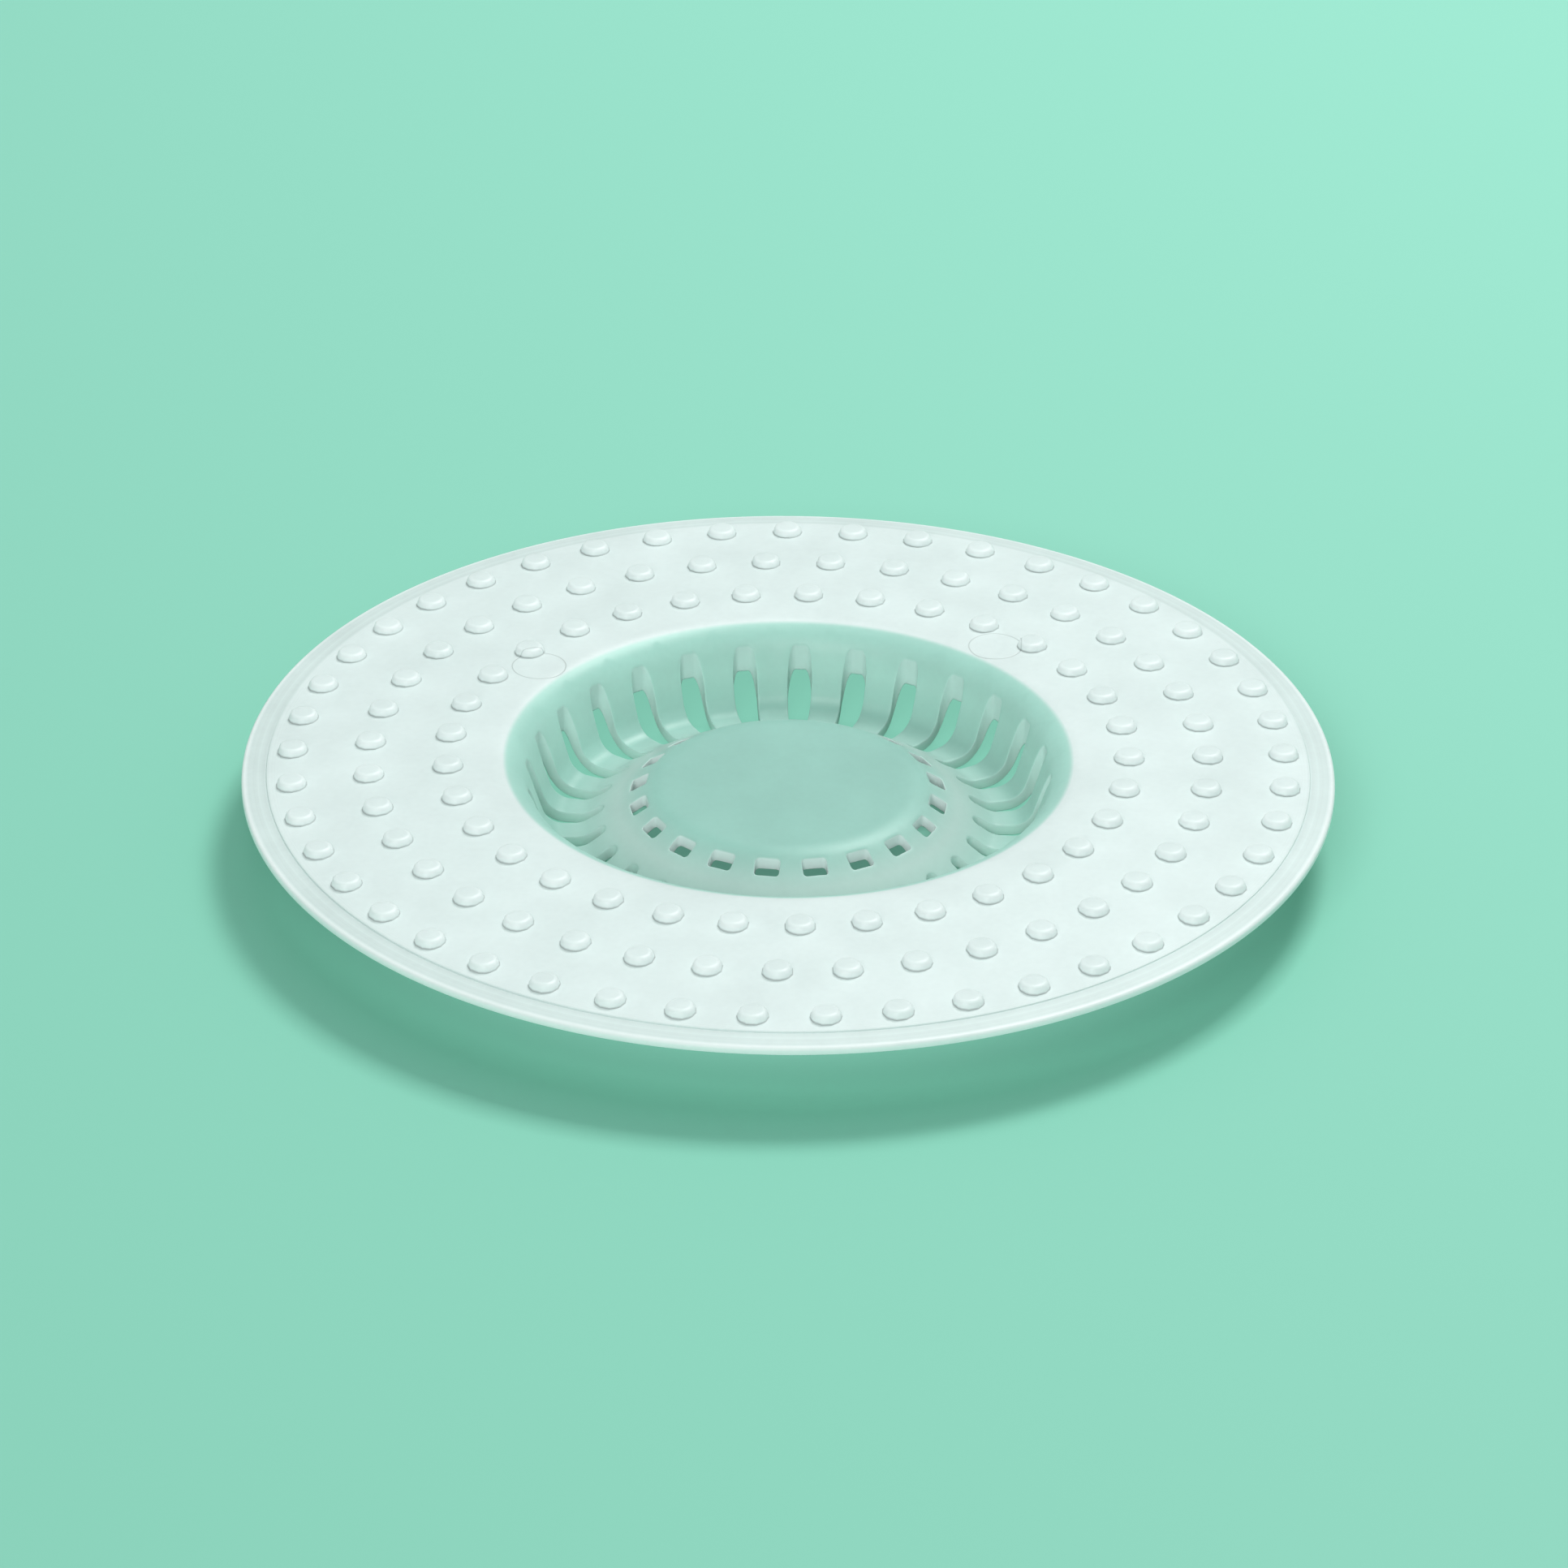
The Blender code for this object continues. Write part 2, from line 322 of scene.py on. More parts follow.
@dataclass
class PiercedRing:
    """A flat ring with equal openings, whose rounded edges are marked by how far they drop."""

    count: int
    inner: float
    outer: float
    outline: list[Point]
    inner_steps: int
    outer_steps: int
    first: float = START_ANGLE
    rim_round: float = 0.00012
    rim_steps: int = 3
    web_steps: int = 4
    catch_steps: int = 5

    def border(self, brink: Sequence[Vector]) -> list[Vector]:
        """The edge of half an opening's sector, opposite each place of the opening's brink.

        Args:
            brink: The places round half the opening.

        Returns:
            The places on the inner circle, the sector's side and the outer circle.
        """
        last = len(brink) - 1
        low, high = self.inner_steps, last - self.outer_steps
        half_pitch = math.pi / self.count
        inner_gap = brink[low].length - self.inner
        outer_gap = self.outer - brink[high].length
        places = []
        for index, place in enumerate(brink):
            if index <= low:
                places.append(polar(self.inner, half_pitch * index / low))
            elif index >= high:
                places.append(polar(self.outer, half_pitch * (last - index) / self.outer_steps))
            else:
                left = max(0.0, 1 - (index - low) / self.catch_steps)
                right = max(0.0, 1 - (high - index) / self.catch_steps)
                radius = place.length - inner_gap * left * left + outer_gap * right * right
                places.append(polar(radius, half_pitch))
        return places

    def build(self, bm: BMesh) -> None:
        """Add the ring.

        Args:
            bm: The flat sheet that gets it. Its "drop" layer holds the drop of each vertex.
        """
        outline = self.outline
        turns = quarter(self.rim_steps)
        edges: list[list[Vector]] = [[] for _ in turns]
        ends = [(outline[1][0], -outline[1][1]), *outline, (outline[-2][0], -outline[-2][1])]
        for before, (x, y), after in zip(ends, outline, ends[2:]):
            (along_x, along_y), _ = unit(before, after)
            for turn, row in zip(turns, edges):
                out = self.rim_round * (1 - math.cos(turn))
                row.append(Vector((x - along_y * out, y + along_x * out, 0.0)))
        brink = edges[-1]
        border = self.border(brink)
        shares = [step / self.web_steps for step in range(1, self.web_steps + 1)]
        web = [[place.lerp(end, share) for place, end in zip(brink, border)] for share in shares]
        drop = bm.verts.layers.float["drop"]
        before = set(bm.verts)
        for turn, row in zip(turns, mapped_grid(bm, edges + web)):
            for vert in row:
                vert[drop] = self.rim_round * (1 - math.sin(turn))
        old = set(bm.faces)
        half = with_links([vert for vert in bm.verts if vert not in before])
        bmesh.ops.mirror(bm, geom=half, matrix=Matrix(), merge_dist=MERGE, axis="Y")
        bmesh.ops.reverse_faces(bm, faces=[face for face in bm.faces if face not in old])
        around(bm, [vert for vert in bm.verts if vert not in before], self.count, self.first)
        bmesh.ops.remove_doubles(bm, verts=bm.verts, dist=MERGE)


@dataclass
class Basket:
    """The basket: leaf-shaped slots in its wall, small windows in its raised floor.

    The "ends" say how many steps of an outline face the inner and the outer circle of its ring.
    """

    wall: Wall
    slots: int = 28
    slot_width: float = 0.0026
    slot_inner_width: float = 0.0016
    slot_inner_bow: float = 0.0006
    slot_tip_width: float = 0.0010
    slot_flank_reach: float = 0.00225
    slot_mouth_gap: float = 0.0033
    slot_inner_facets: int = 5
    slot_side_steps: int = 22
    slot_tip_facets: int = 9
    slot_ends: tuple[int, int] = (5, 6)
    widest_share: float = 0.84
    windows: int = 20
    window_width: float = 0.0026
    window_length: float = 0.0017
    window_corner: float = 0.00035
    window_edge_gap: float = 0.0008
    window_facets: int = 3
    window_side_shares: tuple[float, ...] = (-0.5, 0.0, 0.5)
    window_end_shares: tuple[float, ...] = (0.0, 0.35, 0.7)
    window_ends: tuple[int, int] = (4, 4)
    window_field: Point = (0.0139, 0.0179)
    slot_field: Point = (0.0184, 0.0292)
    mouth_rings: tuple[float, ...] = (0.0295, 0.0298, 0.0301, 0.0304, 0.0307, 0.0311, 0.0315)
    floor_rings: tuple[float, ...] = (
        0.0136, 0.0133, 0.0130, 0.0127, 0.0123, 0.0110, 0.0090, 0.0060, 0.0030, 0.0,
    )
    weld_radius: float = 0.0320
    # Shares of the painted glow on the rounded rims of the slots and the windows.
    slot_cut_glow: float = 0.45
    window_cut_glow: float = 0.85

    def slot_outline(self) -> list[Point]:
        """The plan of half a slot along +X, from the middle of its inner end to its tip."""
        start = self.wall.channel_inner - self.slot_flank_reach
        end = self.wall.mouth_radius - self.slot_mouth_gap
        widest = start + (end - start) * self.widest_share
        inner, full, tip = self.slot_inner_width / 2, self.slot_width / 2, self.slot_tip_width / 2
        bow = self.slot_inner_bow
        points = []
        for turn in quarter(self.slot_inner_facets):
            points.append((start + bow * (1 - math.cos(turn)), inner * math.sin(turn)))
        straight = start + bow
        for index in range(1, self.slot_side_steps):
            share = index / self.slot_side_steps
            points.append((straight + (widest - straight) * share, inner + (full - inner) * share))
        for turn in quarter(self.slot_tip_facets):
            radius = widest + (end - widest) * math.sin(turn)
            points.append((radius, tip + (full - tip) * math.cos(turn)))
        return [*points, (end, tip / 2), (end, 0.0)]

    def window_outline(self) -> list[Point]:
        """The plan of half a window along +X, from the middle of its inner end to its outer end."""
        start = self.wall.floor_corner + self.window_edge_gap
        end, half, corner = start + self.window_length, self.window_width / 2, self.window_corner
        bends = [
            (corner * (1 - math.cos(turn)), corner * (1 - math.sin(turn)))
            for turn in quarter(self.window_facets)
        ]
        low = [(start + along, half - across) for along, across in bends]
        high = [(end - across, half - along) for along, across in bends]
        middle = start + self.window_length / 2
        span = self.window_length / 2 - corner
        sides = [(middle + span * share, half) for share in self.window_side_shares]
        inner = [(start, (half - corner) * share) for share in self.window_end_shares]
        outer = [(end, across) for _, across in reversed(inner)]
        return inner + low + sides + high + outer

    def sheet(self) -> BMesh:
        """The plan of the whole basket with its slots and windows, flat.

        Returns:
            The mesh, with open edges at the openings and at the weld circle.
        """
        bm = bmesh.new()
        bm.verts.layers.float.new("drop")
        window, slot = self.window_outline(), self.slot_outline()
        PiercedRing(self.windows, *self.window_field, window, *self.window_ends).build(bm)
        PiercedRing(self.slots, *self.slot_field, slot, *self.slot_ends).build(bm)
        inner, outer = self.window_field[1], self.slot_field[0]
        bridge(bm, loop_edges(bm, inner), loop_edges(bm, outer))
        self.widen(bm, self.slot_field[1], (*self.mouth_rings, self.weld_radius))
        self.widen(bm, self.window_field[0], self.floor_rings)
        bmesh.ops.remove_doubles(bm, verts=bm.verts, dist=MERGE)
        return bm

    @staticmethod
    def widen(bm: BMesh, start: float, radii: Iterable[float]) -> None:
        """Carry the sheet on from one of its round edges, ring by ring.

        Args:
            bm: The sheet.
            start: The radius of the round edge.
            radii: The radius of each ring in turn.
        """
        edges = loop_edges(bm, start)
        for radius in radii:
            made = bmesh.ops.extrude_edge_only(bm, edges=edges)["geom"]
            verts = [item for item in made if isinstance(item, Vert)]
            edges = [item for item in made if isinstance(item, Edge)]
            bmesh.ops.scale(bm, verts=verts, vec=(radius / start, radius / start, 1))
            start = radius or start

    def build(self) -> BMesh:
        """The basket as two skins joined round the openings, open at the weld circle.

        Returns:
            The mesh.
        """
        bm = self.sheet()
        drop = bm.verts.layers.float["drop"]
        under = bm.verts[:]
        made = bmesh.ops.extrude_face_region(bm, geom=bm.faces[:], use_keep_orig=True)["geom"]
        top = [item for item in made if isinstance(item, Vert)]
        for side, verts, sense in ((Side.UNDER, under, 1), (Side.TOP, top, -1)):
            for vert in verts:
                radius = vert.co.xy.length
                fall = vert[drop] * self.wall.lean(side, radius) if vert[drop] else 0.0
                vert.co.z = self.wall.height(side, radius) + sense * fall
        skirt = [
            face
            for face in bm.faces
            if all(abs(vert.co.xy.length - self.weld_radius) < NEAR for vert in face.verts)
        ]
        bmesh.ops.delete(bm, geom=skirt, context="FACES")
        # The rounded rims of the openings get a painted glow towards the cut colour, stronger at the
        # windows.
        cut_glow = bm.verts.layers.float.new("cut_face_glow")
        drop = bm.verts.layers.float["drop"]
        for vert in bm.verts:
            share = self.window_cut_glow if vert.co.xy.length < self.window_field[1] else self.slot_cut_glow
            vert[cut_glow] = share * vert[drop] / PiercedRing.rim_round
        bm.verts.layers.float.remove(drop)
        return bm


@dataclass
class StudRing:
    """One ring of studs on its band of the flange's top.

    Each pair of shares gives the reach and the height of one circle of the dome, from the middle
    out. The ring shading says how much lighter each circle is painted than the flange: painted
    highlights on the crest, painted shade at the foot.
    """

    wall: Wall
    count: int
    radius: float
    inner: float
    outer: float
    stud_radius: float = 0.0016
    stud_height: float = 0.000799
    first: float = START_ANGLE
    arc_steps: int = 5
    side_steps: int = 3
    dome_shares: tuple[Point, ...] = (
        (0.0, 1.0), (0.58, 0.995), (0.76, 0.95), (0.89, 0.74), (0.97, 0.26), (1.0, 0.0),
    )
    # Painted highlights on the crest circles and painted shade at the foot, one value per circle.
    painted_ring_shading: tuple[float, ...] = (0.0, 0.0, 0.35, 0.55, 0.45, -1.4)
    skirt_share: float = 1.07

    def border(self) -> list[Vector]:
        """The edge of one stud's cell, flat, anticlockwise from the corner at its right.

        Returns:
            The places, with the first one repeated at the end.
        """
        half = math.pi / self.count
        places = []
        for index in range(self.side_steps):
            radius = self.inner + (self.outer - self.inner) * index / self.side_steps
            places.append(polar(radius, -half))
        for index in range(self.arc_steps):
            places.append(polar(self.outer, -half + 2 * half * index / self.arc_steps))
        for index in range(self.side_steps):
            radius = self.outer + (self.inner - self.outer) * index / self.side_steps
            places.append(polar(radius, half))
        for index in range(self.arc_steps + 1):
            places.append(polar(self.inner, half - 2 * half * index / self.arc_steps))
        return places

    def build(self, bm: BMesh) -> None:
        """Add the band with its studs.

        Args:
            bm: The mesh that gets them.
        """
        border = self.border()
        centre = Vector((self.radius, 0.0, 0.0))
        angles = [math.atan2(place.y, place.x - self.radius) for place in border]
        rings = []
        for share, rise in (*self.dome_shares, (self.skirt_share, 0.0)):
            reach = self.stud_radius * share
            lift = Vector((0.0, 0.0, self.stud_height * rise))
            rings.append([centre + polar(reach, angle) + lift for angle in angles])
        rings.append(border)
        rows = mapped_grid(bm, rings)
        # Each circle gets its painted highlight or shade.
        relief_and_stud_shading = bm.verts.layers.float["stud_painted_shading"]
        for row, line in zip(rows, self.painted_ring_shading):
            for vert in row:
                vert[relief_and_stud_shading] = line
        verts = [vert for row in rows for vert in row]
        crown = self.wall.height(Side.TOP, self.radius)
        for vert in verts:
            rise = vert.co.z / self.stud_height
            vert.co.z += crown * rise + self.wall.height(Side.TOP, vert.co.xy.length) * (1 - rise)
        bmesh.ops.remove_doubles(bm, verts=verts, dist=MERGE)
        around(bm, [vert for vert in verts if vert.is_valid], self.count, self.first)


@dataclass
class Flange:
    """The studded flange: three rings of studs on top, and a plain skin underneath with the lip."""

    wall: Wall
    weld_radius: float
    weld_steps: int = 336
    first: float = START_ANGLE
    lip_step: float = 0.00015
    lip_edge: float = 0.0008
    lip_crown: float = 0.0004
    lip_round: float = 0.00015
    lip_arc_step: float = math.radians(18)
    under_steps: int = 12
    line_width: float = 0.00004
    ring_gap: float = 0.0004
    top_edge: float = 0.0546
    outer_studs: tuple[int, float] = (45, 0.05231)
    middle_studs: tuple[int, float] = (39, 0.04418)
    inner_studs: tuple[int, float] = (33, 0.03585)
    outer_border: float = 0.0484
    inner_border: float = 0.0402

    def gaps(self) -> list[Point]:
        """The narrow gap inside each ring of studs, from the inside out."""
        return [
            (self.weld_radius, self.weld_radius + self.ring_gap),
            (self.inner_border - self.ring_gap, self.inner_border),
            (self.outer_border - self.ring_gap, self.outer_border),
        ]

    def rings(self) -> list[StudRing]:
        """The three rings of studs, from the outside in."""
        (_, inner), (inner_end, middle), (middle_end, outer) = self.gaps()
        return [
            StudRing(self.wall, *self.outer_studs, outer, self.top_edge),
            StudRing(self.wall, *self.middle_studs, middle, middle_end),
            StudRing(self.wall, *self.inner_studs, inner, inner_end),
        ]

    def lip_profile(self) -> list[Point]:
        """The open profile over the lip and back under the flange.

        Returns:
            The points, from the top of the flange round the rim to the weld circle underneath.
        """
        wall = self.wall
        brink = wall.lip_inner
        seat = wall.height(Side.UNDER, brink)
        crown = wall.height(Side.TOP, brink)
        start = self.top_edge + self.ring_gap / 4
        corners = [
            (start, wall.height(Side.TOP, start), 0.0),
            (brink - self.line_width, crown, self.line_width),
            (brink, crown - self.lip_step, self.line_width),
            (wall.rim_radius, seat + self.lip_edge, self.lip_crown),
            (wall.rim_radius, seat, self.lip_round),
            (brink, seat, 0.0),
        ]
        points = rounded(corners, self.lip_arc_step)
        for index in range(1, self.under_steps + 1):
            radius = brink + (self.weld_radius - brink) * index / self.under_steps
            points.append((radius, wall.height(Side.UNDER, radius)))
        return points

    def build(self, bm: BMesh) -> None:
        """Add the rings of studs, the lip and the under skin, and weld them to the basket.

        Args:
            bm: The mesh that holds the basket.
        """
        # The studs' painted highlights and shade.
        bm.verts.layers.float.new("stud_painted_shading")
        for ring in self.rings():
            ring.build(bm)
        bmesh.ops.remove_doubles(bm, verts=bm.verts, dist=MERGE)
        for inner, outer in self.gaps():
            level = self.wall.height(Side.TOP, inner) - self.wall.thickness / 2
            bridge(bm, loop_edges(bm, inner, level), loop_edges(bm, outer, level))
        profile = self.lip_profile()
        lip = self.turned_lip(profile)
        bm.from_mesh(lip)
        bpy.data.meshes.remove(lip)
        bridge(bm, loop_edges(bm, self.top_edge), loop_edges(bm, profile[0][0]))
        bmesh.ops.remove_doubles(bm, verts=bm.verts, dist=MERGE)

    def turned_lip(self, profile: Sequence[Point]) -> bpy.types.Mesh:
        """Turn a profile once round the axis.

        Args:
            profile: The open profile.

        Returns:
            The turned mesh.
        """
        bm = bmesh.new()
        verts = [bm.verts.new((radius, 0.0, height)) for radius, height in profile]
        bmesh.ops.rotate(bm, verts=verts, matrix=Matrix.Rotation(self.first, 3, "Z"))
        edges = [bm.edges.new(pair) for pair in zip(verts, verts[1:])]
        bmesh.ops.spin(
            bm,
            geom=verts + edges,
            axis=(0, 0, 1),
            angle=math.tau,
            steps=self.weld_steps,
            use_merge=True,
        )
        mesh = bpy.data.meshes.new("lip")
        bm.to_mesh(mesh)
        bm.free()
        return mesh


class Nodes:
    """A material's nodes, with short ways to add and join them."""

    def __init__(self, name: str) -> None:
        """Start a material that has only its Principled shader."""
        self.material = bpy.data.materials.new(name)
        self.material.use_nodes = True
        self.tree = self.material.node_tree
        self.shader = self.tree.nodes["Principled BSDF"]

    def add(self, kind: str, **settings: object) -> bpy.types.Node:
        """Add a node with its settings."""
        node = self.tree.nodes.new(kind)
        for name, value in settings.items():
            setattr(node, name, value)
        return node

    def join(self, source: Socket, target: Socket) -> None:
        """Link one socket to another."""
        self.tree.links.new(source, target)

    def math(self, operation: str, *values: Socket | float) -> Socket:
        """Work out a number from sockets or plain numbers."""
        node = self.add("ShaderNodeMath", operation=operation)
        for value, socket in zip(values, node.inputs):
            if isinstance(value, Socket):
                self.join(value, socket)
            else:
                socket.default_value = value
        return node.outputs["Value"]

    def total(self, first: Socket | float, *others: Socket) -> Socket:
        """Add up numbers from sockets."""
        for other in others:
            first = self.math("ADD", other, first)
        return first

    def ramp(self, factor: Socket, stops: Sequence[tuple[float, Sequence[float]]]) -> Socket:
        """A colour ramp along a number."""
        node = self.add("ShaderNodeValToRGB")
        for index, (place, colour) in enumerate(stops):
            elements = node.color_ramp.elements
            stop = elements[index] if index < 2 else elements.new(place)
            stop.position, stop.color = place, (*colour, 1.0)
        self.join(factor, node.inputs["Factor" if "Factor" in node.inputs else "Fac"])
        return node.outputs["Color"]

    def place(self) -> Socket:
        """The Object coordinates."""
        return self.add("ShaderNodeTexCoord").outputs["Object"]

    def reach(self) -> Socket:
        """The distance from the upright axis."""
        level = self.add("ShaderNodeVectorMath", operation="MULTIPLY")
        self.join(self.place(), level.inputs[0])
        level.inputs[1].default_value = (1.0, 1.0, 0.0)
        length = self.add("ShaderNodeVectorMath", operation="LENGTH")
        self.join(level.outputs["Vector"], length.inputs[0])
        return length.outputs["Value"]

    def noise(self, scale: float, detail: float) -> Socket:
        """Noise on Object coordinates."""
        node = self.add("ShaderNodeTexNoise")
        node.inputs["Scale"].default_value = scale
        node.inputs["Detail"].default_value = detail
        self.join(self.place(), node.inputs["Vector"])
        return node.outputs["Factor" if "Factor" in node.outputs else "Fac"]

    def mix(
        self,
        share: Socket | float,
        base: Socket,
        other: Socket | Sequence[float],
        blend: str = "MIX",
    ) -> Socket:
        """Blend a colour into another by a share."""
        node = self.add("ShaderNodeMix", data_type="RGBA", blend_type=blend)
        first, second = (socket for socket in node.inputs if socket.type == "RGBA")
        if isinstance(share, Socket):
            self.join(share, node.inputs["Factor"])
        else:
            node.inputs["Factor"].default_value = share
        self.join(base, first)
        if isinstance(other, Socket):
            self.join(other, second)
        else:
            second.default_value = (*other, 1.0)
        return next(socket for socket in node.outputs if socket.type == "RGBA")


@dataclass(frozen=True)
class FrostedPlastic:
    """Natural plastic, frosted by its mould, milky white on the flange.

    The basket's teal is painted light and shade: the mint table seen through the plastic, painted
    darker on the floor and at the wall's foot and lighter on the wall and the flank to even out
    their shade. The cut faces round the openings and the rim's edge are whiter, a painted glow. A
    thin painted shade line marks the step on the lip, and the studs carry painted highlights and
    shade. Two ejector pins left thin circles on the flange. Every strength is a share of the tint,
    and the bump settings are heights.
    """

    slot: str = "frosted_plastic"
    flange: Triple = (0.775, 0.885, 0.87)
    # Basket tones, painted light and shade: the mint table seen through the plastic, the floor and
    # foot darker, the wall and flank lighter.
    throat: Triple = (0.43, 0.745, 0.655)
    wall: Triple = (0.50, 0.80, 0.71)
    floor: Triple = (0.325, 0.61, 0.53)
    flank: Triple = (0.49, 0.67, 0.62)
    foot: Triple = (0.355, 0.63, 0.55)
    lip: Triple = (0.71, 0.83, 0.81)
    # Painted shade of the small step on the lip.
    lip_line_shade: Triple = (0.68, 0.80, 0.78)
    # Painted glow of the cut faces and the rim's edge.
    cut_glow: Triple = (0.88, 0.98, 0.965)
    floor_radius: float = 0.0142
    flank_radius: float = 0.0180
    foot_radius: float = 0.0250
    wall_radius: float = 0.0268
    throat_radius: float = 0.0285
    throat_end_radius: float = 0.0296
    white_radius: float = 0.0301
    line_radius: float = 0.0549
    line_half: float = 0.00009
    edge_radius: float = 0.0570
    rim_radius: float = Wall.rim_radius
    refraction: float = 1.5
    depth_weight: float = 0.3
    depth: float = 0.0005
    roughness: float = 0.34
    roughness_swing: float = 0.16
    shade: float = 0.895
    cloud_scale: float = 120.0
    cloud_detail: float = 5.0
    cloud_strength: float = 0.17
    cloud_relief: float = 0.00006
    grain_scale: float = 1400.0
    grain_detail: float = 1.0
    grain_strength: float = 0.05
    grain_relief: float = 0.000006
    # Strength of the studs' painted highlights and shade.
    stud_shading_strength: float = 0.28
    streak_radius: float = 0.0536
    streak_rise: float = 1500.0
    streak_scale: float = 2200.0
    streak_strength: float = 0.16
    mark_radius: float = 0.00288
    mark_reach: float = 0.0330
    mark_level: float = 0.0096
    mark_half: float = 0.00011
    mark_angles: tuple[float, ...] = (math.radians(47.6), math.radians(144.4))
    mark_strength: float = 0.3
    mark_relief: float = 0.00003

    def tint(self, nodes: Nodes) -> Socket:
        """The colour from the floor of the basket out to the rim, with its painted light and shade.

        Args:
            nodes: The material's nodes.

        Returns:
            The colour.
        """
        share = nodes.math("DIVIDE", nodes.reach(), self.rim_radius)
        stops = [
            # The basket's stops are painted light and shade. The flange's stop is the plastic's own
            # colour.
            (self.floor_radius, self.floor),
            (self.flank_radius, self.flank),
            (self.foot_radius, self.foot),
            (self.wall_radius, self.wall),
            (self.throat_radius, self.throat),
            (self.throat_end_radius, self.throat),
            (self.white_radius, self.flange),
            # Painted shade line at the step on the lip.
            (self.line_radius - 2 * self.line_half, self.flange),
            (self.line_radius - self.line_half, self.lip_line_shade),
            (self.line_radius + self.line_half, self.lip_line_shade),
            (self.line_radius + 2 * self.line_half, self.lip),
            (self.edge_radius, self.lip),
            # Painted glow on the rim's edge.
            (self.edge_radius + self.line_half, self.cut_glow),
        ]
        return nodes.ramp(share, [(radius / self.rim_radius, colour) for radius, colour in stops])

    def mark(self, nodes: Nodes) -> Socket:
        """How far a point is on one of the thin circles that ejector pins left.

        Args:
            nodes: The material's nodes.

        Returns:
            One on a circle's line, falling to zero beside it.
        """
        nearest = None
        for angle in self.mark_angles:
            gap = nodes.add("ShaderNodeVectorMath", operation="DISTANCE")
            nodes.join(nodes.place(), gap.inputs[0])
            gap.inputs[1].default_value = polar(self.mark_reach, angle, self.mark_level)
            distance = gap.outputs["Value"]
            nearest = nodes.math("MINIMUM", nearest, distance) if nearest else distance
        off = nodes.math("ABSOLUTE", nodes.math("SUBTRACT", nearest, self.mark_radius))
        near = nodes.math("SUBTRACT", 1.0, nodes.math("DIVIDE", off, self.mark_half))
        return nodes.math("MAXIMUM", near, 0.0)

    def streaks(self, nodes: Nodes) -> Socket:
        """The faint rings of light and shade that the plastic's flow left on the lip.

        Args:
            nodes: The material's nodes.

        Returns:
            What they add to the shade.
        """
        reach = nodes.reach()
        rings = nodes.add("ShaderNodeTexNoise", noise_dimensions="1D")
        rings.inputs["Scale"].default_value = self.streak_scale
        nodes.join(reach, rings.inputs["W"])
        swing = nodes.math("SUBTRACT", rings.outputs["Fac"], 0.5)
        past = nodes.math("SUBTRACT", reach, self.streak_radius)
        rise = nodes.math("MULTIPLY", past, self.streak_rise)
        fade = nodes.math("MINIMUM", nodes.math("MAXIMUM", rise, 0.0), 1.0)
        return nodes.math("MULTIPLY", nodes.math("MULTIPLY", swing, fade), self.streak_strength)

    def build(self) -> bpy.types.Material:
        """Make the material.

        Returns:
            The material, with its colour, painted light and shade, roughness and fine bumps from
            nodes.
        """
        nodes = Nodes(self.slot)
        shader = nodes.shader
        shader.inputs["IOR"].default_value = self.refraction
        shader.inputs["Subsurface Weight"].default_value = self.depth_weight
        shader.inputs["Subsurface Radius"].default_value = (1.0, 1.0, 1.0)
        shader.inputs["Subsurface Scale"].default_value = self.depth
        mark = self.mark(nodes)
        # Painted glow on the rims of the openings.
        cut_glow = nodes.add("ShaderNodeAttribute", attribute_name="cut_face_glow").outputs["Fac"]
        # Painted highlights and shade of the studs.
        stud_painted_shading = nodes.add("ShaderNodeAttribute", attribute_name="stud_painted_shading").outputs["Fac"]
        colour = nodes.mix(cut_glow, self.tint(nodes), self.cut_glow)
        cloud = nodes.noise(self.cloud_scale, self.cloud_detail)
        grain = nodes.noise(self.grain_scale, self.grain_detail)
        # The tone: random cloud and grain, the studs' painted highlights and shade, ejector circles
        # and flow streaks.
        shade = nodes.total(
            self.shade,
            nodes.math("MULTIPLY", cloud, self.cloud_strength),
            nodes.math("MULTIPLY", grain, self.grain_strength),
            nodes.math("MULTIPLY", stud_painted_shading, self.stud_shading_strength),
            nodes.math("MULTIPLY", mark, -self.mark_strength),
            self.streaks(nodes),
        )
        grey = nodes.add("ShaderNodeCombineColor")
        for name in ("Red", "Green", "Blue"):
            nodes.join(shade, grey.inputs[name])
        shaded = nodes.mix(1.0, colour, grey.outputs["Color"], "MULTIPLY")
        nodes.join(shaded, shader.inputs["Base Color"])
        rough = nodes.total(self.roughness, nodes.math("MULTIPLY", cloud, self.roughness_swing))
        nodes.join(rough, shader.inputs["Roughness"])
        relief_and_stud_shading = nodes.total(
            nodes.math("MULTIPLY", cloud, self.cloud_relief),
            nodes.math("MULTIPLY", grain, self.grain_relief),
            nodes.math("MULTIPLY", mark, -self.mark_relief),
        )
        bump = nodes.add("ShaderNodeBump")
        bump.inputs["Distance"].default_value = 1.0
        nodes.join(relief_and_stud_shading, bump.inputs["Height"])
        nodes.join(bump.outputs["Normal"], shader.inputs["Normal"])
        return nodes.material


